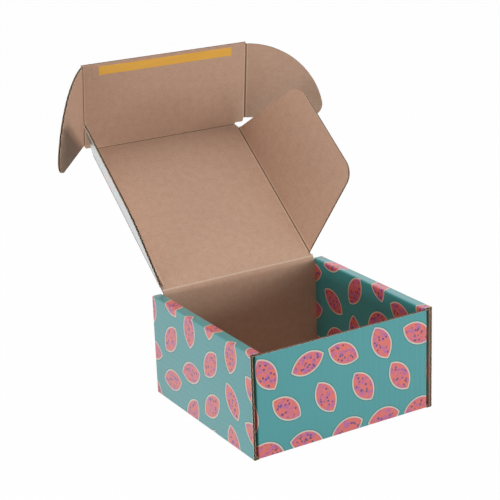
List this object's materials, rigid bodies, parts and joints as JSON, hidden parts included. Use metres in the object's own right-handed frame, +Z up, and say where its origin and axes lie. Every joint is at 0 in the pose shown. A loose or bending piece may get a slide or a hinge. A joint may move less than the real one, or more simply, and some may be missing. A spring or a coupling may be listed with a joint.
{
  "type": "corrugated mailer box",
  "caption": "Open rectangular corrugated cardboard mailer box with double side walls, a hinged lid with side flaps, a front flap with rounded ears and a self-seal strip.",
  "frame": {"origin": "middle of the underside of the bottom, where the box rests", "axes": "+X to the right seen from the front, +Y towards the lid's hinge at the back, +Z up"},
  "size_m": [0.3672, 0.3635, 0.3398],
  "materials": {
    "printed_board": "kraft board, glossy print outside",
    "seal_tape": "adhesive",
    "release_liner": "silicone-coated paper"
  },
  "bodies": {
    "tray": {"folded_tray": "printed_board"},
    "lid": {"lid_panel": "printed_board"},
    "side_flap_right": {"lid_side_flap_right": "printed_board"},
    "side_flap_left": {"lid_side_flap_left": "printed_board"},
    "front_closure": {"front_flap": "printed_board", "seal_tape": "seal_tape", "release_liner": "release_liner"},
    "right_ear": {"ear_flap_right": "printed_board"},
    "left_ear": {"ear_flap_left": "printed_board"}
  },
  "joints": [
    {"name": "lid_hinge", "type": "hinge", "parent": "tray", "child": "lid", "pos_m": [0, 0.101, 0.113], "axis": [-1, 0, 0], "range_deg": [-142, 38]},
    {"name": "side_crease_right", "type": "hinge", "parent": "lid", "child": "side_flap_right", "pos_m": [0.0968, 0.101, 0.113], "axis": [0, -0.788, -0.6157], "range_deg": [-10.27, 38.1]},
    {"name": "side_crease_left", "type": "hinge", "parent": "lid", "child": "side_flap_left", "pos_m": [-0.0968, 0.101, 0.113], "axis": [0, 0.788, 0.6157], "range_deg": [-12.95, 48.1]},
    {"name": "front_crease", "type": "hinge", "parent": "lid", "child": "front_closure", "pos_m": [0, 0.2625, 0.23918], "axis": [1, 0, 0], "range_deg": [-58.5, 0.5]},
    {"name": "ear_crease_right", "type": "hinge", "parent": "front_closure", "child": "right_ear", "pos_m": [0.10665, 0.2625, 0.23918], "axis": [0, 0.1132, -0.9936], "range_deg": [-20, 29]},
    {"name": "ear_crease_left", "type": "hinge", "parent": "front_closure", "child": "left_ear", "pos_m": [-0.10665, 0.2625, 0.23918], "axis": [0, -0.1132, 0.9936], "range_deg": [-49, 0]}
  ],
  "couplings": [
    {"joint": "side_crease_right", "follows": "lid_hinge", "ratio": -0.26761},
    {"joint": "side_crease_left", "follows": "lid_hinge", "ratio": -0.33803}
  ]
}
